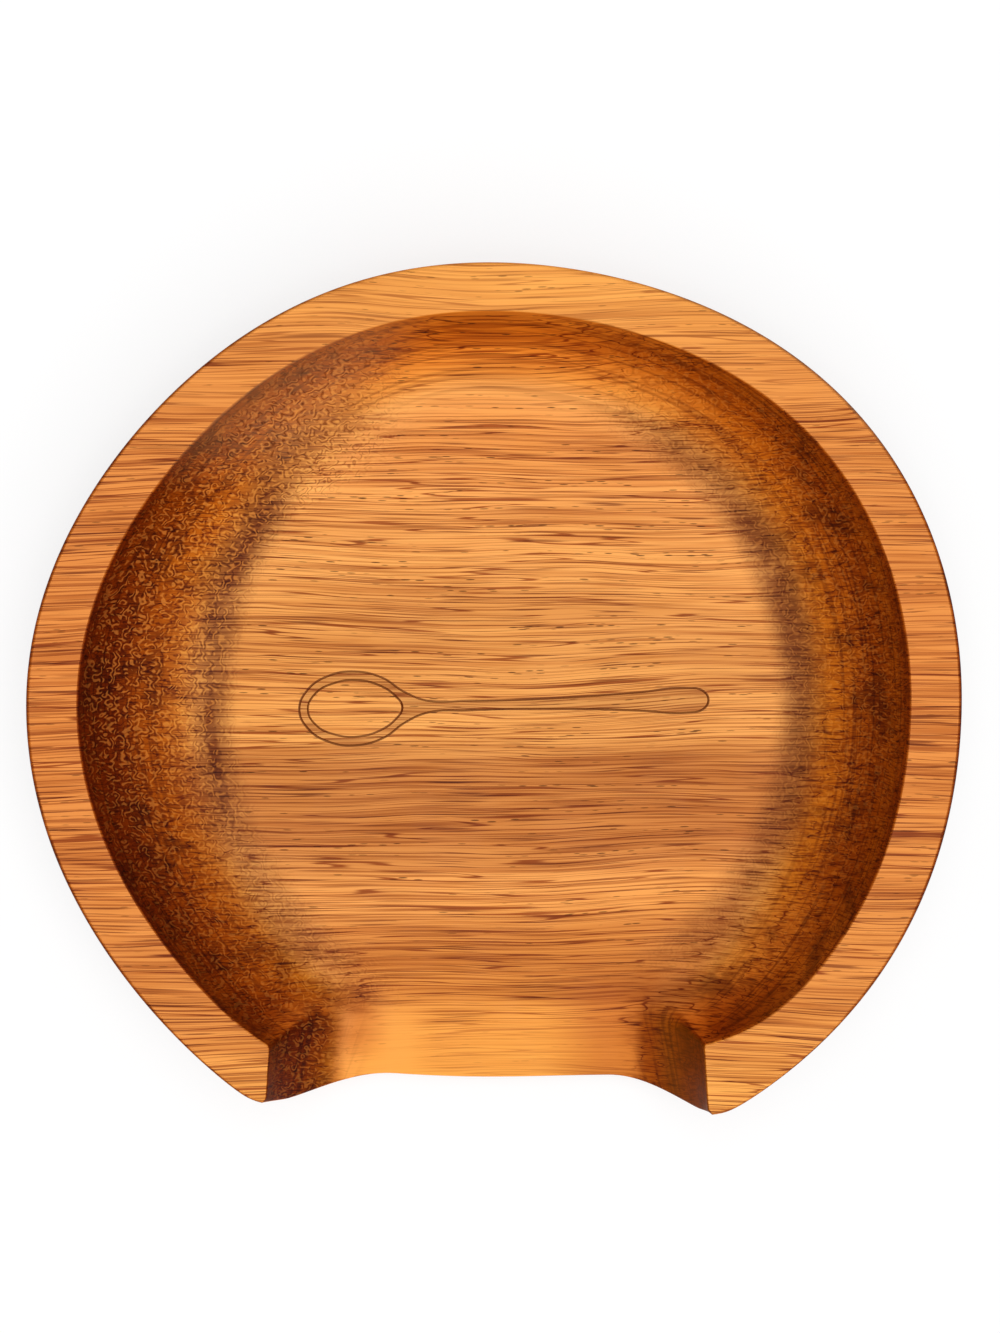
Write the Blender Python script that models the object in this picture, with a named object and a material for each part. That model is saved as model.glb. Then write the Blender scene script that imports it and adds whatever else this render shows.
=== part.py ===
"""A round wooden spoon rest carved from one board: a bowl with a coved wall and an open mouth at the front.

Metres, +Z up. The grain runs along X, the mouth faces -Y and the flat base lies on Z = 0.
The origin is under the middle of the board's box. Every length below is a size of the real piece.
"""

import math

import bmesh
import bpy

# Board: half ellipses behind and in front of its widest line, with the tip of the front one trimmed off
HALF_WIDTH = 0.0694
BACK_REACH = 0.0659
FRONT_REACH = 0.0717
FRONT_TRIM = 0.0099
FRONT_CUT = FRONT_REACH - FRONT_TRIM
FRONT_SKEW = math.radians(-1.5)
BOARD_HEIGHT = 0.0200
LOWER_ROUND = 0.0145
TOP_ROUND = 0.0008

# Bowl: a pocket inside the rim, with a coved wall and a flat floor
RIM_SIDE = 0.0079
RIM_BACK = 0.0074
RIM_FRONT = 0.0080
BOWL_SKEW = math.radians(3.7)
FLOOR_THICKNESS = 0.0050
COVE_RADIUS = 0.0190

# Mouth: the channel where a handle lies, from the bowl's front edge to the board's, with the same cove on
# its left and a tighter one on its right. It widens towards the front and sits a little left of the middle.
MOUTH_LENGTH = 0.0066
MOUTH_WIDTH = 0.0660
MOUTH_OFFSET = -0.0018
MOUTH_FLARE = math.radians(3.6)
RIGHT_COVE_RADIUS = 0.0140

# Corners between ellipse and front edge get crisper as the power rises
BOARD_CORNER_POWER = 100.0
BOWL_CORNER_POWER = 20.0

# Hand sanding: lobes round the outline, how far they move it, and the direction of the first crest
SANDING = (
    (2, 0.00045, math.radians(21.0)),
    (3, 0.00031, math.radians(162.0)),
    (4, 0.00021, math.radians(24.0)),
    (5, 0.00044, math.radians(-160.0)),
)

# The front edge is sanded least a little left of its middle: how far it stands out, where, and how widely
FRONT_BULGE = 0.0006
BULGE_DIRECTION = math.radians(-95.0)
BULGE_SPREAD = math.radians(22.0)

# Fineness of the faceted solid, and how far cutters reach past what they cut
SEGMENTS_AROUND = 192
LOWER_ROUND_STEPS = 7
TOP_ROUND_STEPS = 2
COVE_STEPS = 9
CUTTER_OVERRUN = 0.0050
SHARP_ANGLE = math.radians(30.0)

# Oiled acacia
WOOD_COLOUR = (0.45, 0.17, 0.05, 1.0)
WOOD_ROUGHNESS = 0.45


def clear_scene():
    """Start from an empty scene."""
    for obj in list(bpy.data.objects):
        bpy.data.objects.remove(obj, do_unlink=True)


def plan_radius(angle, half_width, back, front, cut, skew, power):
    """Distance from the board's middle to an outline that blends two half ellipses with a front edge."""
    reach = back if math.sin(angle) > 0.0 else front
    oval = math.hypot(math.cos(angle) / half_width, math.sin(angle) / reach)
    edge = max(0.0, -math.sin(angle - skew)) / cut
    blended = oval * (1.0 + (edge / oval) ** power) ** (1.0 / power)
    sanding = sum(depth * math.cos(lobes * angle - crest) for lobes, depth, crest in SANDING)
    off_bulge = math.remainder(angle - BULGE_DIRECTION, 2.0 * math.pi) / BULGE_SPREAD
    return 1.0 / blended + sanding + FRONT_BULGE * math.exp(-off_bulge ** 2)


def board_outline(inset):
    """The board's plan outline, moved inwards by the inset, about the board's own middle."""
    points = []
    for i in range(SEGMENTS_AROUND):
        angle = 2.0 * math.pi * i / SEGMENTS_AROUND
        radius = plan_radius(angle, HALF_WIDTH - inset, BACK_REACH - inset, FRONT_REACH - inset,
                             FRONT_CUT - inset, FRONT_SKEW, BOARD_CORNER_POWER)
        points.append((radius * math.cos(angle), radius * math.sin(angle)))
    return points


def bowl_outline(inset):
    """The bowl's plan outline at the rim, moved inwards by the inset."""
    points = []
    for i in range(SEGMENTS_AROUND):
        angle = 2.0 * math.pi * i / SEGMENTS_AROUND
        radius = plan_radius(angle, HALF_WIDTH - RIM_SIDE - inset, BACK_REACH - RIM_BACK - inset,
                             FRONT_REACH - RIM_FRONT - inset, FRONT_CUT - MOUTH_LENGTH - inset,
                             BOWL_SKEW, BOWL_CORNER_POWER)
        points.append((radius * math.cos(angle), radius * math.sin(angle)))
    return points


def middle_of_board():
    """Middle of the outline's box, which the origin stands under."""
    xs, ys = zip(*board_outline(0.0))
    return (min(xs) + max(xs)) / 2.0, (min(ys) + max(ys)) / 2.0


def cove_profile(radius):
    """(inset from the rim edge, height) down a cove to its foot. A deeper wall is upright above it."""
    depth = min(BOARD_HEIGHT - FLOOR_THICKNESS, radius)
    start = math.asin(1.0 - depth / radius)
    run = radius * math.cos(start)
    profile = []
    for i in range(COVE_STEPS + 1):
        angle = start + (math.pi / 2.0 - start) * i / COVE_STEPS
        inset = run - radius * math.cos(angle)
        height = FLOOR_THICKNESS + radius * (1.0 - math.sin(angle))
        profile.append((inset, height))
    return profile


def board_profile():
    """(inset from the outline, height) up the board's outside, from the flat base to the flat top."""
    lower = min(LOWER_ROUND, BOARD_HEIGHT - 2.0 * TOP_ROUND)
    profile = []
    for i in range(LOWER_ROUND_STEPS + 1):
        angle = math.pi / 2.0 * i / LOWER_ROUND_STEPS
        profile.append((lower * (1.0 - math.sin(angle)), lower * (1.0 - math.cos(angle))))
    for i in range(TOP_ROUND_STEPS + 1):
        angle = math.pi / 2.0 * i / TOP_ROUND_STEPS
        profile.append((TOP_ROUND * (1.0 - math.cos(angle)),
                        BOARD_HEIGHT - TOP_ROUND * (1.0 - math.sin(angle))))
    return profile


def solid_from_loops(name, loops):
    """A closed solid through a stack of loops with equal numbers of points, lowest first, ends capped."""
    shape = bmesh.new()
    rings = [[shape.verts.new(point) for point in loop] for loop in loops]
    for lower, upper in zip(rings, rings[1:]):
        for i in range(len(lower)):
            j = (i + 1) % len(lower)
            shape.faces.new((lower[i], lower[j], upper[j], upper[i]))
    shape.faces.new(list(reversed(rings[0])))
    shape.faces.new(rings[-1])
    bmesh.ops.recalc_face_normals(shape, faces=shape.faces)
    mesh = bpy.data.meshes.new(name)
    shape.to_mesh(mesh)
    shape.free()
    obj = bpy.data.objects.new(name, mesh)
    bpy.context.scene.collection.objects.link(obj)
    return obj


def stacked(outline, profile, middle):
    """Loops of an outline at each step of a profile, placed about the board's middle."""
    loops = []
    for inset, height in profile:
        loops.append([(x - middle[0], y - middle[1], height) for x, y in outline(inset)])
    return loops


def make_cutter(name, loops):
    """A solid that only cuts and isn't part of the object."""
    cutter = solid_from_loops(name, loops)
    cutter.hide_render = True
    cutter.display_type = "WIRE"
    return cutter


def make_bowl_cutter(middle):
    """The bowl's inside, carried on straight up past the rim."""
    profile = list(reversed(cove_profile(COVE_RADIUS)))
    profile.append((0.0, BOARD_HEIGHT + CUTTER_OVERRUN))
    return make_cutter("bowl_cutter", stacked(bowl_outline, profile, middle))


def mouth_section(half_width, y, middle):
    """Points round the mouth's cross-section at one y: down its left wall and up its right one."""
    above = BOARD_HEIGHT + CUTTER_OVERRUN
    left = [(inset - half_width, height) for inset, height in cove_profile(COVE_RADIUS)]
    right = [(half_width - inset, height) for inset, height in reversed(cove_profile(RIGHT_COVE_RADIUS))]
    section = [(-half_width, above)] + left + right + [(half_width, above)]
    return [(MOUTH_OFFSET + x - middle[0], y - middle[1], height) for x, height in section]


def make_mouth_cutter(middle):
    """The mouth's channel, from over the bowl's floor to past the front edge."""
    front = FRONT_CUT + CUTTER_OVERRUN
    back_half_width = MOUTH_WIDTH / 2.0 - FRONT_CUT * math.tan(MOUTH_FLARE)
    front_half_width = MOUTH_WIDTH / 2.0 + CUTTER_OVERRUN * math.tan(MOUTH_FLARE)
    loops = [mouth_section(front_half_width, -front, middle), mouth_section(back_half_width, 0.0, middle)]
    return make_cutter("mouth_cutter", loops)


def cut(obj, cutter):
    """Take the cutter's shape out of the object."""
    modifier = obj.modifiers.new(cutter.name, "BOOLEAN")
    modifier.operation = "DIFFERENCE"
    modifier.solver = "EXACT"
    modifier.object = cutter


def make_wood():
    """Oiled acacia, a warm orange brown with a satin finish."""
    wood = bpy.data.materials.new("oiled_acacia")
    wood.use_nodes = True
    shader = wood.node_tree.nodes["Principled BSDF"]
    shader.inputs["Base Color"].default_value = WOOD_COLOUR
    shader.inputs["Roughness"].default_value = WOOD_ROUGHNESS
    shader.inputs["Metallic"].default_value = 0.0
    return wood


def make_carved_body():
    """The board, with the bowl and its mouth carved out of it."""
    middle = middle_of_board()
    body = solid_from_loops("carved_body", stacked(board_outline, board_profile(), middle))
    cut(body, make_bowl_cutter(middle))
    cut(body, make_mouth_cutter(middle))
    body.data.shade_smooth()
    body.data.set_sharp_from_angle(angle=SHARP_ANGLE)
    body.data.materials.append(make_wood())
    return body


clear_scene()
make_carved_body()
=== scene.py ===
"""A carved acacia spoon rest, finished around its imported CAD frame.

Metres, +Z up. The grain runs along X, the mouth faces -Y and the flat base lies on Z = 0.
"""

import math

import bmesh
import bpy
from mathutils import Matrix


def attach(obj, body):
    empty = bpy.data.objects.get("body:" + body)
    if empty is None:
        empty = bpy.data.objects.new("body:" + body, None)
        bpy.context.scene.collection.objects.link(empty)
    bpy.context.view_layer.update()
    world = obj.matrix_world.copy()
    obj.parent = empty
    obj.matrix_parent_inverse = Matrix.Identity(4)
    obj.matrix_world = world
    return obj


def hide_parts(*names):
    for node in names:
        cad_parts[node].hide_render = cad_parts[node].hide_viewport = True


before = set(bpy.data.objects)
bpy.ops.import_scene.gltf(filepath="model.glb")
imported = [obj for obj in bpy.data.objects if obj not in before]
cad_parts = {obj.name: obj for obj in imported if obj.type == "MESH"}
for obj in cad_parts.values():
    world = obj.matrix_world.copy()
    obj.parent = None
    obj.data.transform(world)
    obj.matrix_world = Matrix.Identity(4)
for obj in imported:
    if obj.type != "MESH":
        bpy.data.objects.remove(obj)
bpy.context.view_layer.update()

# The board: one piece of acacia, sawn to a round outline with a straight front edge and sanded by hand.
# Its underside is rounded over with a large cutter, so it stands on a flat base smaller than the rim.
HALF_WIDTH = 0.0694
BACK_REACH = 0.0659
FRONT_REACH = 0.0717
FRONT_TRIM = 0.0099
FRONT_CUT = FRONT_REACH - FRONT_TRIM
FRONT_SKEW = math.radians(-1.5)
FRONT_CORNER_POWER = 100.0
BOARD_HEIGHT = 0.0200
LOWER_ROUND = 0.0145
SANDING = (
    (2, 0.00045, math.radians(21.0)),
    (3, 0.00031, math.radians(162.0)),
    (4, 0.00021, math.radians(24.0)),
    (5, 0.00044, math.radians(-160.0)),
)
FRONT_BULGE = 0.0006
BULGE_DIRECTION = math.radians(-95.0)
BULGE_SPREAD = math.radians(22.0)

# The finished board stays this far inside the frame, whose outline was drawn in this many directions
FINISH_ALLOWANCE = 0.00003
FRAME_DIRECTIONS = 192

# Fineness of the side's mesh
SIDE_COLUMNS = 520
SIDE_ROWS = 16
FRONT_COLUMNS = 48

finished_top = BOARD_HEIGHT - FINISH_ALLOWANCE


def outline_radius(angle, inset, half_width, back, front, cut, skew, power):
    """Distance from the centre to an outline that blends two half ellipses with a straight front edge."""
    reach = (back if math.sin(angle) > 0.0 else front) - inset
    oval = math.hypot(math.cos(angle) / (half_width - inset), math.sin(angle) / reach)
    edge = max(0.0, -math.sin(angle - skew)) / (cut - inset)
    blended = oval * (1.0 + (edge / oval) ** power) ** (1.0 / power)
    sanding = sum(depth * math.cos(lobes * angle - crest) for lobes, depth, crest in SANDING)
    off_bulge = math.remainder(angle - BULGE_DIRECTION, math.tau) / BULGE_SPREAD
    return 1.0 / blended + sanding + FRONT_BULGE * math.exp(-off_bulge ** 2)


def board_radius(angle, inset):
    """Distance from the centre to the board's outline, moved inwards by the inset."""
    return outline_radius(angle, inset, HALF_WIDTH, BACK_REACH, FRONT_REACH, FRONT_CUT, FRONT_SKEW,
                          FRONT_CORNER_POWER)


def polar(angle, radius):
    """The plan point at an angle and a distance from the centre."""
    return radius * math.cos(angle), radius * math.sin(angle)


def middle_of_board():
    """Middle of the outline's box, which the frame's origin stands under."""
    angles = [math.tau * i / FRAME_DIRECTIONS for i in range(FRAME_DIRECTIONS)]
    xs, ys = zip(*(polar(angle, board_radius(angle, 0.0)) for angle in angles))
    return (min(xs) + max(xs)) / 2.0, (min(ys) + max(ys)) / 2.0


def side_inset(height):
    """How far the board's side lies inside its outline at a height."""
    drop = max(0.0, LOWER_ROUND - height)
    return FINISH_ALLOWANCE + LOWER_ROUND - math.sqrt(LOWER_ROUND ** 2 - drop ** 2)


def side_height(share, top):
    """Height at a share of the way up the side to a top, measured along the rounding."""
    quarter = LOWER_ROUND * math.pi / 2.0

    def climb(height):
        if height > LOWER_ROUND:
            return quarter + height - LOWER_ROUND
        return LOWER_ROUND * math.acos(1.0 - height / LOWER_ROUND)

    length = share * climb(top)
    if length > quarter:
        return LOWER_ROUND + length - quarter
    return LOWER_ROUND * (1.0 - math.cos(length / LOWER_ROUND))


middle = middle_of_board()
board = bmesh.new()


def vertex(x, y, height):
    """A new corner of the board's mesh, placed about the board's middle."""
    return board.verts.new((x - middle[0], y - middle[1], height))


# The bowl and its mouth: a pocket routed into the board, with a cove from the rim edge down to a flat floor.
# The mouth runs out through the front edge, where a spoon's handle lies. The cove is tighter at its right.
# The corners between bowl and mouth are crisp at the rim and sanded away towards the floor.
RIM_SIDE = 0.0079
RIM_BACK = 0.0074
RIM_FRONT = 0.0080
BOWL_SKEW = math.radians(3.7)
BOWL_CORNER_POWER = 20.0
FLOOR_THICKNESS = 0.0050
COVE_RADIUS = 0.0190
MOUTH_LENGTH = 0.0066
MOUTH_WIDTH = 0.0660
MOUTH_OFFSET = -0.0018
MOUTH_FLARE = math.radians(3.6)
RIGHT_COVE_RADIUS = 0.0140
RIGHT_CORNER = math.radians(-59.5)
RIGHT_CORNER_SPREAD = math.radians(9.0)
LEFT, RIGHT = -1, 1

# How far each corner's bend reaches at the rim and at the floor, and how late it widens
CRISP_CORNER = {LEFT: 0.00060, RIGHT: 0.00045}
WORN_CORNER = 0.0090
WORN_POWER = 4

# The horns' tips are rounded at the top only. A tip's arc ends where its turn has this sine.
TIP_ROUND = {LEFT: 0.0014, RIGHT: 0.0011}
TIP_ROUND_DEPTH = 0.0060
TIP_TURN = 0.9

# Fineness of the cavity's mesh, and how its seams are found
COVE_LEVELS = 26
BOWL_COLUMNS = 480
MOUTH_COLUMNS = 12
CORNER_COLUMNS = 8
HALVINGS = 40
MITRE_SEARCH = (math.radians(2.0), math.radians(70.0))


def level_height(level):
    """Height of one level of the cove, at even steps round it from the rim edge down to its foot."""
    start = math.asin(1.0 - (finished_top - FLOOR_THICKNESS) / COVE_RADIUS)
    angle = start + (math.pi / 2.0 - start) * level / COVE_LEVELS
    return FLOOR_THICKNESS + COVE_RADIUS * (1.0 - math.sin(angle))


def cove_inset(radius, height):
    """How far a cove lies inside its rim edge at a height. Above its quarter round it is upright."""
    def from_foot(level):
        below_top = max(0.0, radius - (level - FLOOR_THICKNESS))
        return math.sqrt(radius ** 2 - below_top ** 2)

    return from_foot(finished_top) - from_foot(height)


def bowl_radius(angle, height):
    """Distance from the centre to the bowl's wall at a height. Its cove tightens towards the right corner."""
    off_corner = math.remainder(angle - RIGHT_CORNER, math.tau) / RIGHT_CORNER_SPREAD
    radius = COVE_RADIUS - (COVE_RADIUS - RIGHT_COVE_RADIUS) * math.exp(-off_corner ** 2)
    return outline_radius(angle, cove_inset(radius, height), HALF_WIDTH - RIM_SIDE, BACK_REACH - RIM_BACK,
                          FRONT_REACH - RIM_FRONT, FRONT_CUT - MOUTH_LENGTH, BOWL_SKEW, BOWL_CORNER_POWER)


def mouth_wall(side, y, height):
    """Where the mouth's wall stands at one y and height, before its tip is rounded."""
    radius = COVE_RADIUS if side == LEFT else RIGHT_COVE_RADIUS
    half_width = MOUTH_WIDTH / 2.0 - (y + FRONT_CUT) * math.tan(MOUTH_FLARE)
    return MOUTH_OFFSET + side * (half_width - cove_inset(radius, height))


def crossing(gap, low, high):
    """Where a gap changes sign between two values."""
    rising = gap(high) > 0.0
    for _ in range(HALVINGS):
        between = (low + high) / 2.0
        if (gap(between) > 0.0) == rising:
            high = between
        else:
            low = between
    return (low + high) / 2.0


def front_end(wall, height):
    """Y where one level of a mouth wall runs out through the board's side, along the front's S curve."""
    def outside(y):
        x = wall(y)
        return math.hypot(x, y) - board_radius(math.atan2(y, x), side_inset(height))

    return crossing(outside, -FRONT_REACH, -FRONT_CUT + COVE_RADIUS)


def mitre(side, height):
    """Angle at which one level of the bowl meets a mouth wall."""
    def past_wall(angle):
        x, y = polar(angle, bowl_radius(angle, height))
        return side * (x - mouth_wall(side, y, height))

    ahead = -math.pi / 2.0
    near, far = MITRE_SEARCH
    return crossing(past_wall, ahead + side * near, ahead + side * far)


def mouth_side(side, height):
    """Plan points along one level of a mouth wall and its worn corner, and the bowl angle at their end."""
    tip = front_end(lambda y: mouth_wall(side, y, height), height)
    tip_round = TIP_ROUND[side] * max(0.0, 1.0 - (finished_top - height) / TIP_ROUND_DEPTH)
    tip_slope = TIP_TURN / math.sqrt(1.0 - TIP_TURN ** 2)

    def wall(y):
        past = max(0.0, tip + tip_round - y)
        turned = min(past, TIP_TURN * tip_round)
        flare = tip_round - math.sqrt(tip_round ** 2 - turned ** 2) + (past - turned) * tip_slope
        return mouth_wall(side, y, height) + side * flare

    angle = mitre(side, height)
    corner = polar(angle, bowl_radius(angle, height))
    depth = (finished_top - height) / (finished_top - FLOOR_THICKNESS)
    worn = CRISP_CORNER[side] + (WORN_CORNER - CRISP_CORNER[side]) * depth ** WORN_POWER
    front_y, stop_y = front_end(wall, height), corner[1] - worn
    ys = [front_y + (stop_y - front_y) * i / MOUTH_COLUMNS for i in range(MOUTH_COLUMNS)]
    bowl_angle = angle + side * worn / math.hypot(*corner)
    start, end = (wall(stop_y), stop_y), polar(bowl_angle, bowl_radius(bowl_angle, height))
    bend = []
    for i in range(CORNER_COLUMNS):
        t = i / CORNER_COLUMNS
        bend.append(tuple((1 - t) ** 2 * a + 2 * t * (1 - t) * b + t ** 2 * c
                          for a, b, c in zip(start, corner, end)))
    return [(wall(y), y) for y in ys] + bend, bowl_angle


def level_curve(height):
    """Plan points along one level of the cavity: up the left mouth wall, round the bowl, down the right."""
    left, start = mouth_side(LEFT, height)
    right, end = mouth_side(RIGHT, height)
    start += math.tau
    angles = [start + (end - start) * i / BOWL_COLUMNS for i in range(BOWL_COLUMNS + 1)]
    return left + [polar(angle, bowl_radius(angle, height)) for angle in angles] + right[::-1]


cove = []
for level in range(COVE_LEVELS + 1):
    height = level_height(level)
    cove.append([vertex(x, y, height) for x, y in level_curve(height)])
for upper, lower in zip(cove, cove[1:]):
    for i in range(len(upper) - 1):
        board.faces.new((upper[i], upper[i + 1], lower[i + 1], lower[i]))


def direction(corner):
    """Angle of a mesh corner about the centre, counted on past the left so that it falls through the back."""
    angle = math.atan2(corner.co.y + middle[1], corner.co.x + middle[0])
    return angle + math.tau if angle < -math.pi / 2.0 else angle


def side_column(angle, top, crown=None):
    """Corners up the board's side from the base to a height, ending on a given corner if there is one."""
    column = []
    for row in range(SIDE_ROWS + 1):
        height = side_height(row / SIDE_ROWS, top)
        if row < SIDE_ROWS or crown is None:
            column.append(vertex(*polar(angle, board_radius(angle, side_inset(height))), height))
        else:
            column.append(crown)
    return column


# The side is drawn in columns: round the rim from horn to horn, then along the mouth's S curves and lip
left_tip, right_tip = cove[0][0], cove[0][-1]
first, last = direction(left_tip), direction(right_tip)
side = [side_column(first, finished_top, left_tip)]
for i in range(1, SIDE_COLUMNS):
    side.append(side_column(first + (last - first) * i / SIDE_COLUMNS, finished_top))
side.append(side_column(last, finished_top, right_tip))
for row in cove[1:]:
    side.append(side_column(direction(row[-1]), row[-1].co.z, row[-1]))
first, last = direction(cove[-1][-1]), direction(cove[-1][0]) - math.tau
for i in range(1, FRONT_COLUMNS):
    side.append(side_column(first + (last - first) * i / FRONT_COLUMNS, FLOOR_THICKNESS))
for row in cove[:0:-1]:
    side.append(side_column(direction(row[0]), row[0].co.z, row[0]))
for column, following in zip(side, side[1:] + side[:1]):
    for row in range(SIDE_ROWS):
        board.faces.new((column[row], following[row], following[row + 1], column[row + 1]))

rim_edge = [column[-1] for column in side[:SIDE_COLUMNS + 1]]
lip_start = SIDE_COLUMNS + COVE_LEVELS
lip = [column[-1] for column in side[lip_start:lip_start + FRONT_COLUMNS + 1]]
board.faces.new(rim_edge[1:-1] + cove[0][::-1])
board.faces.new(cove[-1] + lip[1:-1])
board.faces.new([column[0] for column in side])
bmesh.ops.recalc_face_normals(board, faces=board.faces)

# Every arris is eased with fine paper, most on the outside and least at the rim edge of the bowl.
# An eased edge catches a thin line of light.
OUTER_ARRIS = 0.0007
RIM_ARRIS = 0.00035
LIP_ARRIS = 0.00050
ARRIS_STEPS = 4
SHARP_ANGLE = math.radians(42.0)

ease = board.edges.layers.float.new("bevel_weight_edge")


def ease_edges(chain, radius):
    """Mark the edges along a chain of corners for easing."""
    for start, end in zip(chain, chain[1:]):
        board.edges.get((start, end))[ease] = radius / OUTER_ARRIS


ease_edges(rim_edge, OUTER_ARRIS)
ease_edges(cove[0], RIM_ARRIS)
ease_edges([row[0] for row in cove], LIP_ARRIS)
ease_edges([row[-1] for row in cove], LIP_ARRIS)
ease_edges(lip, LIP_ARRIS)

mesh = bpy.data.meshes.new("carved_board")
board.to_mesh(mesh)
board.free()
carved_board = bpy.data.objects.new("carved_board", mesh)
bpy.context.scene.collection.objects.link(carved_board)
easing = carved_board.modifiers.new("eased_arrises", "BEVEL")
easing.width = OUTER_ARRIS
easing.segments = ARRIS_STEPS
easing.limit_method = "WEIGHT"
easing.use_clamp_overlap = False


def make_plain(obj):
    """Turn an object's modifiers into plain mesh."""
    shape = bpy.data.meshes.new_from_object(obj.evaluated_get(bpy.context.evaluated_depsgraph_get()))
    obj.modifiers.clear()
    obj.data = shape


make_plain(carved_board)

# Oiled acacia: fibres along X, pores as short dark streaks along them and as dots across them. Growth rings
# lie almost flat and sag towards front and back. The oil leaves a satin sheen and darkens the end grain.
# Its patterns are sized in real millimetres: along the fibres, across them and up.
MILLIMETRES = 1000.0
SLOW_WAVE = {"size": (70.0, 30.0, 30.0), "reach": (0.0, 6.0, 0.4)}
FINE_WAVE = {"size": (20.0, 5.0, 5.0), "reach": (0.0, 0.9, 0.9)}


def add_node(tree, kind, inputs=None, stops=(), **settings):
    """A node with its settings, its inputs filled by values or other nodes, and any colour stops."""
    node = tree.nodes.new(kind)
    for name, value in settings.items():
        setattr(node, name, value)
    for key, value in (inputs or {}).items():
        named = [s for s in node.inputs if s.enabled and s.name == key]
        socket = node.inputs[key] if isinstance(key, int) else named[0]
        if isinstance(value, bpy.types.Node):
            value = next(s for s in value.outputs if s.enabled)
        if isinstance(value, bpy.types.NodeSocket):
            tree.links.new(value, socket)
        else:
            socket.default_value = value
    for i, (position, colour) in enumerate(stops):
        elements = node.color_ramp.elements
        element = elements[i] if i < 2 else elements.new(position)
        element.position = position
        element.color = colour
    return node


def linear(hex_colour):
    """An sRGB hex colour as linear RGBA."""
    parts = [int(hex_colour[i:i + 2], 16) / 255.0 for i in (0, 2, 4)]
    return tuple(c / 12.92 if c <= 0.04045 else ((c + 0.055) / 1.055) ** 2.4 for c in parts) + (1.0,)


oiled_acacia = bpy.data.materials.new("oiled_acacia")
oiled_acacia.use_nodes = True
wood = oiled_acacia.node_tree
wood.nodes.clear()


def figure(place, size, detail, roughness=0.5):
    """Noise of a size along each axis of a place in the wood, in millimetres."""
    spread = add_node(wood, "ShaderNodeVectorMath", {0: place, 1: tuple(1.0 / s for s in size)},
                      operation="MULTIPLY")
    return add_node(wood, "ShaderNodeTexNoise",
                    {"Vector": spread, "Scale": 1.0, "Detail": detail, "Roughness": roughness})


def waved(place, size, reach):
    """A place in the wood moved by noise of a size, by up to half the reach each way."""
    push = figure(place, size, 1.0).outputs["Color"]
    centred = add_node(wood, "ShaderNodeVectorMath", {0: push, 1: (0.5, 0.5, 0.5)}, operation="SUBTRACT")
    moved = add_node(wood, "ShaderNodeVectorMath", {0: centred, 1: reach}, operation="MULTIPLY")
    return add_node(wood, "ShaderNodeVectorMath", {0: place, 1: moved}, operation="ADD")


def area(*parts):
    """How strongly each point belongs to an area of the board: all its parts multiplied together.

    A part is a share, another area, or a soft limit: a measure, where it begins and where it is full, and
    how strong it is before and after if that isn't 0 and 1. Places are in millimetres from the middle of
    the base, and the way that a surface faces runs from -1 to 1.
    """
    strength = None
    for part in parts:
        if isinstance(part, tuple):
            measure, begins, full, before, after = part if len(part) == 5 else part + (0.0, 1.0)
            part = add_node(wood, "ShaderNodeMapRange",
                            {"Value": measure, "From Min": begins, "From Max": full, "To Min": before,
                             "To Max": after}, interpolation_type="SMOOTHSTEP")
        if strength is None:
            strength = part
        else:
            strength = add_node(wood, "ShaderNodeMath", {0: strength, 1: part}, operation="MULTIPLY")
    return strength


def distance(measure, line):
    """How far a measure is from a line, on either side of it."""
    past = add_node(wood, "ShaderNodeMath", {0: measure, 1: line}, operation="SUBTRACT")
    return add_node(wood, "ShaderNodeMath", {0: past}, operation="ABSOLUTE")


# Where a point lies and which way its surface faces. The fibres wave slowly, with finer waves on top that
# the streaks, the pores and the torn fibres follow.
point = add_node(wood, "ShaderNodeTexCoord")
real = add_node(wood, "ShaderNodeVectorMath", {0: point.outputs["Object"], "Scale": MILLIMETRES},
                operation="SCALE")
slow = waved(real, **SLOW_WAVE)
grain = waved(slow, **FINE_WAVE)
axes = add_node(wood, "ShaderNodeSeparateXYZ", {0: slow})
along, across, up = axes.outputs["X"], axes.outputs["Y"], axes.outputs["Z"]
sideways = distance(along, 0.0)
facing = add_node(wood, "ShaderNodeSeparateXYZ", {0: point.outputs["Normal"]})
to_right, to_back, upright = facing.outputs["X"], facing.outputs["Y"], facing.outputs["Z"]
end_on = distance(to_right, 0.0)

# Growth rings: the height above the base, less the sag and tilt of a large ring, picks the colour
RING_RADIUS = 480.0
RING_CENTRE = 1.0
RING_TILT = 0.006
RING_SPAN = 20.0
RING_COLOURS = (
    (0.00, "ffab48"), (0.10, "ffa84a"), (0.165, "faa44e"), (0.20, "faa858"), (0.245, "feb15e"),
    (0.30, "fea648"), (0.40, "fea040"), (0.60, "ee9438"), (0.80, "ffae54"), (0.87, "f09a4a"),
    (1.00, "eb9145"),
)
off_centre = distance(across, RING_CENTRE)
squared = add_node(wood, "ShaderNodeMath", {0: off_centre, 1: off_centre}, operation="MULTIPLY")
ring_place = add_node(wood, "ShaderNodeCombineXYZ", {"X": along, "Y": squared, "Z": up})
ring = add_node(wood, "ShaderNodeVectorMath", {0: ring_place, 1: (-RING_TILT, -0.5 / RING_RADIUS, 1.0)},
                operation="DOT_PRODUCT").outputs["Value"]
ring_share = add_node(wood, "ShaderNodeMapRange", {"Value": ring, "From Min": 0.0, "From Max": RING_SPAN})
rings = add_node(wood, "ShaderNodeValToRGB", {"Fac": ring_share},
                 stops=[(share, linear(shade)) for share, shade in RING_COLOURS])

# Everything below dyes the rings' colour in turn. A dye is its area, its colour and the way it blends.
dyes = []

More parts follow.
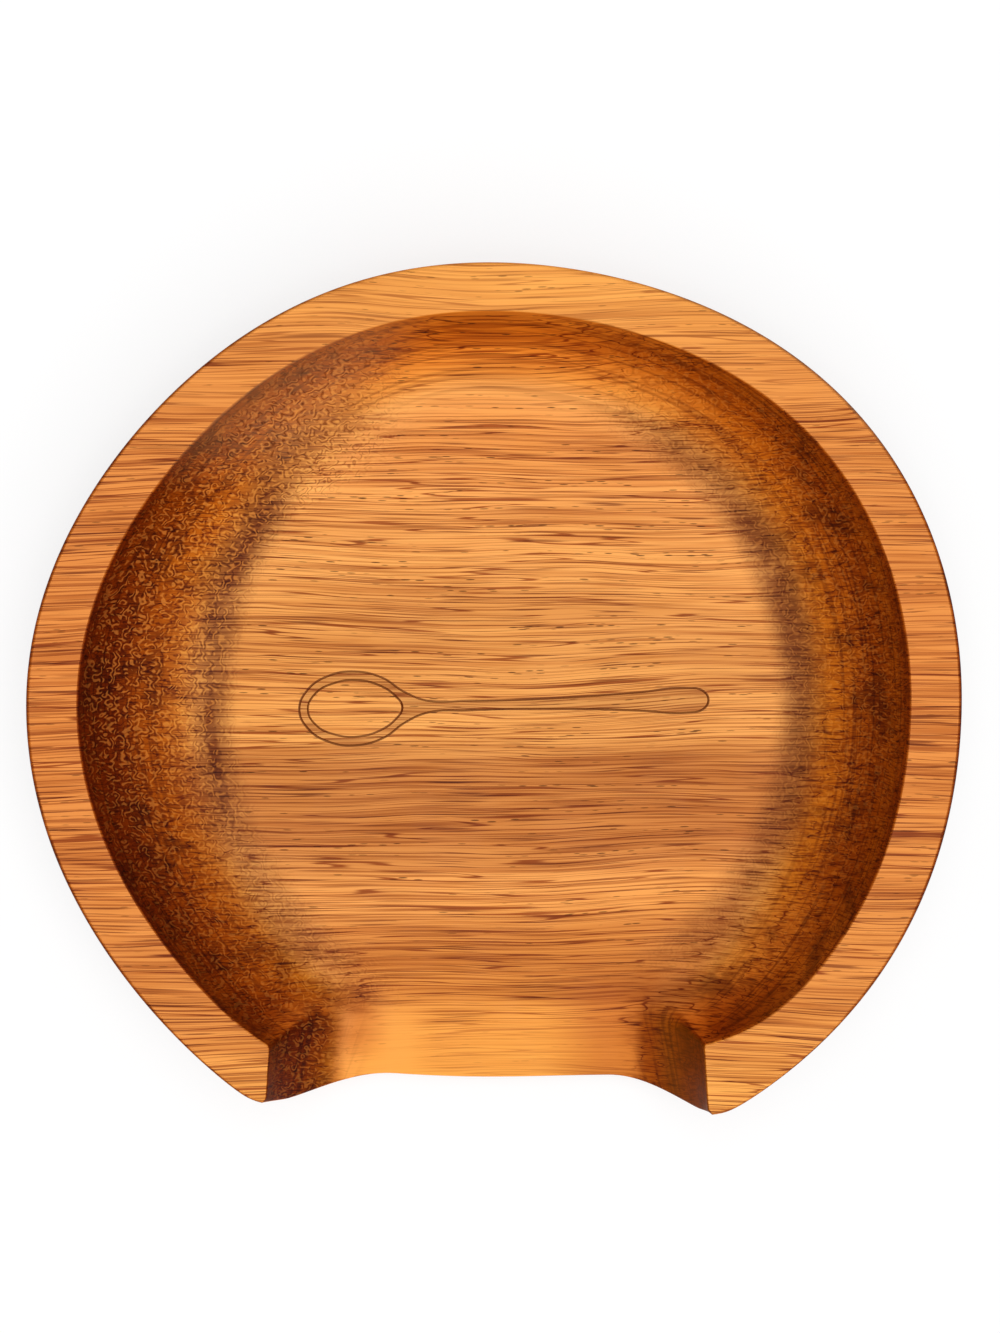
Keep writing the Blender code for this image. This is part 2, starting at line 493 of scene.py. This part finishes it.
# Broad darker bands cross the floor, each with its middle, its half width and its share
DARK_BANDS = ((-18.0, 8.0, 0.55), (-42.0, 7.0, 0.35), (6.0, 8.0, 0.15), (39.0, 3.5, 0.20))
BAND_EDGE = 3.0
BAND_BROWN = "b07c48"
near_floor = area((up, 7.5, 5.5))
for middle_line, half_width, share in DARK_BANDS:
    across_band = (distance(across, middle_line), half_width + BAND_EDGE, half_width - BAND_EDGE)
    dyes.append((area(across_band, near_floor, share), BAND_BROWN, "MULTIPLY"))

# The oil left a cloudy brown stain along an oval round the foot of the cove, darkest on the left. The oval
# is 1.0 on its halves and stands out a little at the back left. The mouth's corners are darker too.
STAIN_CENTRE = (1.7, -2.0, 0.0)
STAIN_HALVES = (44.7, 47.0)
STAIN_LINE = 1.025
STAIN_BULGE = 0.09
STAIN_BROWN = "8a6c5e"
CORNER_BROWN = "c08a58"
CORNER_SHARE = 0.6
CLOUD = {"size": (7.0, 7.0, 7.0), "detail": 3.0, "roughness": 0.6}
from_middle = add_node(wood, "ShaderNodeVectorMath", {0: slow, 1: STAIN_CENTRE}, operation="SUBTRACT")
in_halves = add_node(wood, "ShaderNodeVectorMath",
                     {0: from_middle, 1: (1.0 / STAIN_HALVES[0], 1.0 / STAIN_HALVES[1], 0.0)},
                     operation="MULTIPLY")
oval = add_node(wood, "ShaderNodeVectorMath", {0: in_halves}, operation="LENGTH").outputs["Value"]
cloud = figure(grain, **CLOUD)
bulge = area((across, 24.0, 38.0), (along, 0.0, -24.0), STAIN_BULGE)
bulged_oval = add_node(wood, "ShaderNodeMath", {0: oval, 1: bulge}, operation="SUBTRACT")
off_stain = distance(bulged_oval, STAIN_LINE)
dark_core = area((off_stain, 0.055, 0.008), (along, 6.0, -22.0, 0.2, 1.0), (across, -32.0, -12.0))
soft_edge = area((off_stain, 0.11, 0.01), (across, -30.0, 5.0, 0.45, 0.9))
oval_stain = add_node(wood, "ShaderNodeMath", {0: soft_edge, 1: dark_core}, operation="MAXIMUM")
stain = area(oval_stain, (sideways, 14.0, 32.0), (cloud, 0.36, 0.56, 0.70, 1.0), (across, -46.0, -38.0),
             (across, 38.0, 22.0, 0.6, 1.0), (up, 2.5, 4.5))
dyes.append((stain, STAIN_BROWN, "MULTIPLY"))
left_corner = area((along, -15.0, -21.0), (across, -44.0, -49.0), (across, -58.0, -53.0), 0.8)
right_corner = area((along, 6.0, 18.0), (across, -40.0, -50.0))
corners = add_node(wood, "ShaderNodeMath", {0: left_corner, 1: right_corner}, operation="MAXIMUM")
dyes.append((area(corners, (up, 19.4, 18.4), CORNER_SHARE), CORNER_BROWN, "MULTIPLY"))

# Streaks along the fibres, from broad to fine: size, detail, where the noise begins and is full, share and
# colour. Thin dark lines run between them. Both are calmer low on the back wall, on the back rim and at the
# left of the mouth's floor.
STREAKS = (
    ((60.0, 4.0, 4.0), 2.0, 0.44, 0.66, 0.32, "c49e70"),
    ((40.0, 1.0, 1.0), 2.0, 0.47, 0.68, 0.42, "bf9054"),
    ((36.0, 0.26, 1.60), 1.0, 0.48, 0.66, 0.62, "a87942"),
    ((12.0, 0.20, 1.60), 0.3, 0.61, 0.73, 0.72, "7c4418"),
)
LINES = {"size": (60.0, 1.0, 2.6), "detail": 1.0}
LINE_MIDDLE = 0.5
LINE_SHARE = 0.85
LINE_BROWN = "9c6436"
calm_foot = area((across, 41.0, 44.0), (across, 50.0, 46.0), 0.5)
calm_rim = area((across, 46.0, 56.0), (up, 18.6, 19.4), 0.4)
calm_mouth = area((along, -8.0, -14.0), (across, -47.0, -51.0), (up, 9.0, 6.5), 0.8)
calm_back = add_node(wood, "ShaderNodeMath", {0: calm_foot, 1: calm_rim}, operation="MAXIMUM")
calm = add_node(wood, "ShaderNodeMath", {0: calm_mouth, 1: calm_back}, operation="MAXIMUM")
lively = add_node(wood, "ShaderNodeMath", {0: 1.0, 1: calm}, operation="SUBTRACT")
busy = area((ring, 1.6, 2.5, 0.35, 1.0), lively)
for size, detail, begins, full, share, shade in STREAKS:
    dyes.append((area((figure(grain, size, detail), begins, full), busy, share), shade, "MULTIPLY"))
off_line = distance(figure(grain, **LINES), LINE_MIDDLE)
dyes.append((area((off_line, 0.022, 0.005), busy, LINE_SHARE), LINE_BROWN, "MULTIPLY"))

# Where the surface faces along the fibres it shows end grain. The mouth's lower walls are worn pale, and the
# right of the front wall is partly pale.
PALE_SHARE = 0.30
worn = area((across, -46.5, -51.0), (to_right, 0.58, 0.38), (to_right, -0.42, -0.24))
unworn = add_node(wood, "ShaderNodeMath", {0: 1.0, 1: worn}, operation="SUBTRACT")
# Painted shade: the bowl's front walls left and right of the middle, which face the back, darken where steep
front_wall_shade = area((across, -22.0, -38.0), (sideways, 16.0, 24.0), (upright, 0.985, 0.87))
pale_front = area((along, 14.0, 26.0), (across, -28.0, -40.0), (across, -53.0, -49.0), PALE_SHARE)
unpale = add_node(wood, "ShaderNodeMath", {0: 1.0, 1: pale_front}, operation="SUBTRACT")

# Fibres are torn where the cove's walls cut across them, most at the left and towards the back. The middle
# of the back wall and the mouth's right wall are smooth.
smooth_wall = area((along, 0.0, 10.0), (across, -40.0, -48.0))
rough_wall = add_node(wood, "ShaderNodeMath", {0: 1.0, 1: smooth_wall}, operation="SUBTRACT")
shrunk_oval = add_node(wood, "ShaderNodeMath", {0: oval, 1: bulge}, operation="ADD")
torn = area((shrunk_oval, 0.90, 1.03), (sideways, 10.0, 27.0), (up, 19.2, 18.6),
            (along, 12.0, -22.0, 0.45, 1.0), unworn, rough_wall, (across, -36.0, 6.0, 0.5, 1.0))

# Pores: cells 3 mm long and 0.3 mm wide, dark in their middle, which gather in rows
PORE_CELL = (3.0, 0.33, 0.90)
PORE_ROWS = {"size": (45.0, 0.8, 2.5), "detail": 1.0}
PORE_BROWN = "381806"
PORE_SHARE = 0.85
pore_cells = add_node(wood, "ShaderNodeVectorMath", {0: grain, 1: tuple(1.0 / s for s in PORE_CELL)},
                      operation="MULTIPLY")
pore = add_node(wood, "ShaderNodeTexVoronoi", {"Vector": pore_cells, "Scale": 1.0, "Randomness": 1.0})
pore_depth = area((pore.outputs["Distance"], 0.29, 0.17), (figure(grain, **PORE_ROWS), 0.54, 0.66),
                  (end_on, 0.12, 0.50, 1.0, 0.25), (across, -46.0, -38.0, 0.25, 1.0),
                  (up, 18.6, 19.4, 1.0, 0.65), (torn, 0.0, 1.0, 1.0, 0.25))
dyes.append((area(pore_depth, PORE_SHARE), PORE_BROWN, "MIX"))

# End grain drinks more oil and looks redder and darker, and in cloudy patches. Steep walls are dyed with
# painted shade as well: every steep surface is painted darker and more golden, the steep front walls darker,
# and the walls that face most along the fibres darker still, partly end grain and partly painted shade.
STEEP_SHADE_GOLD = "f8e0a4"
END_GRAIN_AND_SHADE_BROWN = "c8ac5e"
STEEP_GRAIN_AND_SHADE_BROWN = "b08a3c"
PATCH_GREY = "a08c7c"
PATCH_SHARE = 0.65
# Painted shade: any steep surface is dyed darker and more golden, the steeper the more
dyes.append((area((upright, 0.95, 0.45)), STEEP_SHADE_GOLD, "MULTIPLY"))
# End grain, and the painted shade on the steep front walls, take one brown
end_grain_and_front_shade = add_node(wood, "ShaderNodeMath", {0: area((end_on, 0.05, 0.46)), 1: front_wall_shade}, operation="MAXIMUM")
dyes.append((area(end_grain_and_front_shade, unworn, unpale), END_GRAIN_AND_SHADE_BROWN, "MULTIPLY"))
# Walls facing along the fibres darken most where steepest: partly end grain, partly painted shade near the
# rim, stronger on the left
left_steep = area((to_right, 0.40, 0.85))
right_steep = area((to_right, -0.36, -0.80, 0.0, 0.6))
steepest = add_node(wood, "ShaderNodeMath", {0: left_steep, 1: right_steep}, operation="ADD")
dyes.append((area(steepest, unpale, (across, -44.0, -50.0, 1.0, 0.65)), STEEP_GRAIN_AND_SHADE_BROWN, "MULTIPLY"))
dyes.append((area((cloud, 0.52, 0.66), (end_on, 0.10, 0.45), unworn, PATCH_SHARE), PATCH_GREY, "MULTIPLY"))

# Growth layers half a millimetre apart draw dark lines round the steep walls
LAYERS = {"size": (60.0, 25.0, 0.5), "detail": 2.0}
LAYER_BROWN = "98703c"
LAYER_SHARE = 0.60
layer_place = add_node(wood, "ShaderNodeCombineXYZ", {"X": along, "Y": across, "Z": ring})
side_walls = area((end_on, 0.20, 0.60))
back_walls = area((to_back, -0.20, -0.60, 0.0, 0.8))
cut_layers = add_node(wood, "ShaderNodeMath", {0: side_walls, 1: back_walls}, operation="MAXIMUM")
layered = area((figure(layer_place, **LAYERS), 0.50, 0.64), cut_layers, LAYER_SHARE)
dyes.append((layered, LAYER_BROWN, "MULTIPLY"))

# Painted shade darkens the left wall's front half, the back wall where it is steep and the mouth's steep
# walls, and a painted grey sheen lightens the left wall at the back
LEFT_WALL_SHADE_BROWN = "e3d3c0"
BACK_WALL_SHADE_BROWN = "ebdfc6"
MOUTH_LEFT_SHADE_GOLD = "dcd460"
MOUTH_RIGHT_SHADE_BROWN = "7e4400"
PAINTED_SHEEN_GREY = "c99a6c"
PAINTED_SHEEN_SHARE = 0.20
in_mouth = area((across, -44.0, -49.0))
# Painted shade on the front half of the left wall
dyes.append((area((to_right, 0.10, 0.40), (across, 22.0, 8.0), unworn), LEFT_WALL_SHADE_BROWN, "MULTIPLY"))
# Painted shade on the steep back wall
dyes.append((area((to_back, -0.50, -0.85), (across, 40.0, 50.0)), BACK_WALL_SHADE_BROWN, "MULTIPLY"))
# Painted shade on the mouth's steep left wall, and on its steep right wall mixed towards a dark golden brown
dyes.append((area((to_right, 0.45, 0.75), in_mouth), MOUTH_LEFT_SHADE_GOLD, "MULTIPLY"))
dyes.append((area((to_right, -0.45, -0.75, 0.0, 0.4), in_mouth), MOUTH_RIGHT_SHADE_BROWN, "MIX"))
# Painted sheen: a light grey-brown mixed into the left wall towards the back
dyes.append((area((to_right, 0.10, 0.35), (across, 28.0, 42.0), PAINTED_SHEEN_SHARE), PAINTED_SHEEN_GREY, "MIX"))

# Torn fibres curl like contour lines round the oval, bent by a noise and broken by another. Each curl is
# lighter than the wood, partly paler fibre and partly painted glint, with a painted shadow beside it.
CURL_BEND = {"size": (1.1, 0.95, 1.9), "detail": 0.0}
CURL_BREAK = {"size": (0.85, 0.75, 1.4), "detail": 0.0}
CURL_TURNS = 3.0
CURL_RINGS = 34.0
CURL_FOLD = 0.5
CURL_GLINT_GOLD = "a86428"
CURL_GLINT_SHARE = 0.85
HOLLOW_SHADOW_BROWN = "a07448"
HOLLOW_SHADOW_SHARE = 0.75
round_oval = add_node(wood, "ShaderNodeMath", {0: oval, 1: CURL_RINGS}, operation="MULTIPLY")
bent = add_node(wood, "ShaderNodeMath", {0: figure(grain, **CURL_BEND), 1: CURL_TURNS, 2: round_oval},
                operation="MULTIPLY_ADD")
curl = add_node(wood, "ShaderNodeMath", {0: bent, 1: CURL_FOLD}, operation="PINGPONG")
whole = area((figure(grain, **CURL_BREAK), 0.40, 0.52), (upright, 0.20, 0.70, 0.35, 1.0), torn)
fleck = area((curl, 0.24, 0.40), whole)
# Painted shadow beside each curl
dyes.append((area((curl, 0.20, 0.04), whole, HOLLOW_SHADOW_SHARE), HOLLOW_SHADOW_BROWN, "MULTIPLY"))
# Painted glint on each curl, over its paler fibre
dyes.append((area(fleck, CURL_GLINT_SHARE), CURL_GLINT_GOLD, "SCREEN"))

# Char: the burned mark's slopes are dark brown, and its bottom is only scorched
CHAR_BROWN = "582608"
char = add_node(wood, "ShaderNodeAttribute", attribute_name="char")
dyes.append((char.outputs["Fac"], CHAR_BROWN, "MIX"))

colour = rings.outputs["Color"]
for strength, shade, blend in dyes:
    colour = add_node(wood, "ShaderNodeMix", {"Factor": strength, "A": colour, "B": linear(shade)},
                      data_type="RGBA", blend_type=blend)

# The oil's satin film is duller in places. Curls stand out of it by under a tenth of a millimetre, and pores
# are as deep.
CURL_LIFT = 0.8
RELIEF_DEPTH = 0.00008
RELIEF_STRENGTH = 0.5
OIL_IOR = 1.47
OIL_SHEEN = 0.08
relief = add_node(wood, "ShaderNodeMath", {0: area(fleck, CURL_LIFT), 1: pore_depth}, operation="SUBTRACT")
bump = add_node(wood, "ShaderNodeBump",
                {"Strength": RELIEF_STRENGTH, "Distance": RELIEF_DEPTH, "Height": relief})
satin = area((cloud, 0.35, 0.65, 0.44, 0.56))
surface = add_node(wood, "ShaderNodeBsdfPrincipled",
                   {"Base Color": colour, "Roughness": satin, "Normal": bump, "IOR": OIL_IOR,
                    "Specular IOR Level": OIL_SHEEN})
add_node(wood, "ShaderNodeOutputMaterial", {"Surface": surface})

# The mark on the floor: a plain spoon, burned in as an outlined stroke 0.3 mm deep with sloping sides.
# The slopes are charred and draw its outline as a thin dark line, and the bottom is only scorched.
MARK_CENTRE = (0.0015, -0.0025)
MARK_TURN = math.radians(1.4)
MARK_DEPTH = 0.00030
MARK_OVERRUN = 0.00010
MARK_SLOPE = 0.00034
MARK_SPACING = 0.00040
MERGE_DISTANCE = 0.000001
SLOPE_CHAR = 0.78
BOTTOM_CHAR = 0.22
SPOON_HALF = (
    (-0.0320, 0.0), (-0.0306, 0.0032), (-0.0272, 0.0054), (-0.0230, 0.0060), (-0.0186, 0.0049),
    (-0.0152, 0.0026), (-0.0118, 0.0012), (-0.0060, 0.0010), (0.0080, 0.0011), (0.0210, 0.0017),
    (0.0282, 0.0022), (0.0311, 0.0016), (0.0320, 0.0),
)
HOLE_HALF = (
    (-0.0301, 0.0), (-0.0289, 0.0023), (-0.0262, 0.0037), (-0.0228, 0.0041), (-0.0193, 0.0032),
    (-0.0169, 0.0015), (-0.0160, 0.0),
)


def mark_tree():
    """Cuts a flat outline down into a closed solid with sloping sides. Holes run the other way round."""
    tree = bpy.data.node_groups.new("burned_mark", "GeometryNodeTree")
    tree.interface.new_socket("Outline", in_out="INPUT", socket_type="NodeSocketGeometry")
    for name in ("Depth", "Slope", "Spacing", "Slope Char", "Bottom Char"):
        tree.interface.new_socket(name, in_out="INPUT", socket_type="NodeSocketFloat")
    tree.interface.new_socket("Wood", in_out="INPUT", socket_type="NodeSocketMaterial")
    tree.interface.new_socket("Cutter", in_out="OUTPUT", socket_type="NodeSocketGeometry")
    given = add_node(tree, "NodeGroupInput").outputs
    path = add_node(tree, "GeometryNodeResampleCurve",
                    {"Curve": given["Outline"], "Length": given["Spacing"]}, mode="LENGTH")
    along = add_node(tree, "GeometryNodeInputTangent")
    inwards = add_node(tree, "ShaderNodeVectorMath", {0: (0.0, 0.0, 1.0), 1: along},
                       operation="CROSS_PRODUCT")
    kept = add_node(tree, "GeometryNodeCaptureAttribute", {"Geometry": path})
    kept.capture_items.new("VECTOR", "Inwards")
    tree.links.new(inwards.outputs[0], kept.inputs["Inwards"])
    edges = add_node(tree, "GeometryNodeCurveToMesh", {"Curve": kept.outputs["Geometry"]})
    across = add_node(tree, "ShaderNodeVectorMath", {0: kept.outputs["Inwards"], "Scale": given["Slope"]},
                      operation="SCALE")
    fall = add_node(tree, "ShaderNodeMath", {0: given["Depth"], 1: -1.0}, operation="MULTIPLY")
    down = add_node(tree, "ShaderNodeCombineXYZ", {"Z": fall})
    step = add_node(tree, "ShaderNodeVectorMath", {0: across, 1: down}, operation="ADD")
    slopes = add_node(tree, "GeometryNodeExtrudeMesh", {"Mesh": edges, "Offset": step, "Offset Scale": 1.0},
                      mode="EDGES")
    burned = add_node(tree, "GeometryNodeStoreNamedAttribute",
                      {"Geometry": slopes.outputs["Mesh"], "Selection": slopes.outputs["Side"],
                       "Name": "char", "Value": given["Slope Char"]}, domain="FACE", data_type="FLOAT")
    foot = add_node(tree, "GeometryNodeSeparateGeometry",
                    {"Geometry": slopes.outputs["Mesh"], "Selection": slopes.outputs["Top"]}, domain="EDGE")
    foot_path = add_node(tree, "GeometryNodeMeshToCurve", {"Mesh": foot})
    foot_fill = add_node(tree, "GeometryNodeFillCurve", {"Curve": foot_path}, mode="NGONS")
    bottom = add_node(tree, "GeometryNodeTransform", {"Geometry": foot_fill, "Translation": down})
    scorched = add_node(tree, "GeometryNodeStoreNamedAttribute",
                        {"Geometry": bottom, "Name": "char", "Value": given["Bottom Char"]},
                        domain="FACE", data_type="FLOAT")
    lid = add_node(tree, "GeometryNodeFillCurve", {"Curve": path}, mode="NGONS")
    whole = add_node(tree, "GeometryNodeJoinGeometry", {"Geometry": burned})
    tree.links.new(scorched.outputs[0], whole.inputs[0])
    tree.links.new(lid.outputs[0], whole.inputs[0])
    closed = add_node(tree, "GeometryNodeMergeByDistance", {"Geometry": whole, "Distance": MERGE_DISTANCE})
    real = add_node(tree, "GeometryNodeRealizeInstances", {"Geometry": closed})
    charred = add_node(tree, "GeometryNodeSetMaterial", {"Geometry": real, "Material": given["Wood"]})
    add_node(tree, "NodeGroupOutput", {"Cutter": charred})
    return tree


outline = bpy.data.curves.new("mark_outline", "CURVE")
outline.dimensions = "2D"
outline.fill_mode = "NONE"
for half, way in ((SPOON_HALF, 1), (HOLE_HALF, -1)):
    points = [(x, -y) for x, y in half] + list(half[-2:0:-1])
    spline = outline.splines.new("BEZIER")
    spline.bezier_points.add(len(points) - 1)
    spline.use_cyclic_u = True
    for point, (x, y) in zip(spline.bezier_points, points[::way]):
        point.co = (x, y, 0.0)
        point.handle_left_type = point.handle_right_type = "AUTO"

engraver = bpy.data.objects.new("mark_outline", outline)
bpy.context.scene.collection.objects.link(engraver)
engraving = engraver.modifiers.new("burned_mark", "NODES")
engraving.node_group = mark_tree()
sockets = {item.name: item.identifier for item in engraving.node_group.interface.items_tree
           if item.in_out == "INPUT"}
engraving[sockets["Depth"]] = MARK_DEPTH + MARK_OVERRUN
engraving[sockets["Slope"]] = MARK_SLOPE * (MARK_DEPTH + MARK_OVERRUN) / MARK_DEPTH
engraving[sockets["Spacing"]] = MARK_SPACING
engraving[sockets["Slope Char"]] = SLOPE_CHAR
engraving[sockets["Bottom Char"]] = BOTTOM_CHAR
engraving[sockets["Wood"]] = oiled_acacia
cutter_mesh = bpy.data.meshes.new_from_object(engraver.evaluated_get(bpy.context.evaluated_depsgraph_get()))
cutter_mesh.transform(Matrix.Translation((*MARK_CENTRE, FLOOR_THICKNESS + MARK_OVERRUN))
                      @ Matrix.Rotation(MARK_TURN, 4, "Z"))
cutter = bpy.data.objects.new("mark_cutter", cutter_mesh)
bpy.context.scene.collection.objects.link(cutter)
carved_board.data.materials.clear()
carved_board.data.materials.append(oiled_acacia)
cut = carved_board.modifiers.new("mark", "BOOLEAN")
cut.operation = "DIFFERENCE"
cut.solver = "EXACT"
cut.object = cutter
make_plain(carved_board)
for spare in (engraver, cutter):
    bpy.data.objects.remove(spare)
carved_board.data.shade_smooth()
carved_board.data.set_sharp_from_angle(angle=SHARP_ANGLE)
even = carved_board.modifiers.new("even_shading", "WEIGHTED_NORMAL")
even.keep_sharp = True
make_plain(carved_board)

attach(carved_board, "root")
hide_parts("carved_body")

# The stage: a flat sheet of matt white paper just under the board. It shows white to the camera, keeps the
# board's soft shadow, and throws a slightly grey light back on the wood.
STAGE_HALF = 3.0
STAGE_DROP = 0.00005
WHITE_SHARE = 0.7
WHITE = "ffffff"
PAPER_GREY = "d8d6d2"
stage_mesh = bpy.data.meshes.new("sweep")
sheet = [(x * STAGE_HALF, y * STAGE_HALF, -STAGE_DROP) for x, y in ((-1, -1), (1, -1), (1, 1), (-1, 1))]
stage_mesh.from_pydata(sheet, [], [(0, 1, 2, 3)])
sweep = bpy.data.objects.new("sweep", stage_mesh)
bpy.context.scene.collection.objects.link(sweep)
paper = bpy.data.materials.new("matt_white_paper")
paper.use_nodes = True
paper.node_tree.nodes.clear()
seen = add_node(paper.node_tree, "ShaderNodeLightPath")
shade = add_node(paper.node_tree, "ShaderNodeMix",
                 {"Factor": seen.outputs["Is Camera Ray"], "A": linear(PAPER_GREY), "B": linear(WHITE)},
                 data_type="RGBA")
matt = add_node(paper.node_tree, "ShaderNodeBsdfDiffuse", {"Color": shade})
white = add_node(paper.node_tree, "ShaderNodeEmission", {"Color": linear(WHITE), "Strength": 1.0})
lifted = add_node(paper.node_tree, "ShaderNodeMath",
                  {0: seen.outputs["Is Camera Ray"], 1: WHITE_SHARE}, operation="MULTIPLY")
mixed = add_node(paper.node_tree, "ShaderNodeMixShader", {"Fac": lifted, 1: matt, 2: white})
add_node(paper.node_tree, "ShaderNodeOutputMaterial", {"Surface": mixed})
stage_mesh.materials.append(paper)

# Light: an even white room, with a broad soft lamp from the front and one from above. A lamp has its name,
# its height and its direction in degrees, its strength, and how many degrees wide it looks.
ROOM_STRENGTH = 0.28
LAMPS = (("front_lamp", 60.0, -70.0, 1.26, 60.0), ("top_lamp", 85.0, 60.0, 1.34, 50.0))
room = bpy.data.worlds.new("white_room")
room.use_nodes = True
room.node_tree.nodes.clear()
rays = add_node(room.node_tree, "ShaderNodeLightPath").outputs
seen_rays = add_node(room.node_tree, "ShaderNodeMath",
                     {0: rays["Is Camera Ray"], 1: rays["Is Glossy Ray"]}, operation="MAXIMUM")
all_rays = add_node(room.node_tree, "ShaderNodeMath",
                    {0: seen_rays, 1: rays["Is Transmission Ray"]}, operation="MAXIMUM")
brightness = add_node(room.node_tree, "ShaderNodeMapRange",
                      {"Value": all_rays, "To Min": ROOM_STRENGTH, "To Max": 1.0})
glow = add_node(room.node_tree, "ShaderNodeBackground", {"Color": linear(WHITE), "Strength": brightness})
add_node(room.node_tree, "ShaderNodeOutputWorld", {"Surface": glow})
bpy.context.scene.world = room
for name, elevation, azimuth, strength, spread in LAMPS:
    lamp = bpy.data.lights.new(name, "SUN")
    lamp.energy = strength
    lamp.angle = math.radians(spread)
    sun = bpy.data.objects.new(name, lamp)
    sun.rotation_euler = (0.0, math.radians(90.0 - elevation), math.radians(azimuth))
    bpy.context.scene.collection.objects.link(sun)

# Camera: straight above the board, 0.4 m over the rim, as the photograph is taken. At the rim's height its
# view is 149.3 mm wide.
CAMERA_PLACE = (0.00090, 0.00343)
CAMERA_ABOVE_RIM = 0.400
VIEW_WIDTH_AT_RIM = 0.1493
SENSOR_WIDTH = 36.0
CLIP_START = 0.01
camera = bpy.data.cameras.new("overhead_camera")
camera.sensor_fit = "HORIZONTAL"
camera.sensor_width = SENSOR_WIDTH
camera.lens = SENSOR_WIDTH * CAMERA_ABOVE_RIM / VIEW_WIDTH_AT_RIM
camera.clip_start = CLIP_START
overhead = bpy.data.objects.new("overhead_camera", camera)
overhead.location = (*CAMERA_PLACE, BOARD_HEIGHT + CAMERA_ABOVE_RIM)
bpy.context.scene.collection.objects.link(overhead)
bpy.context.scene.camera = overhead
bpy.context.scene.view_settings.view_transform = "Standard"
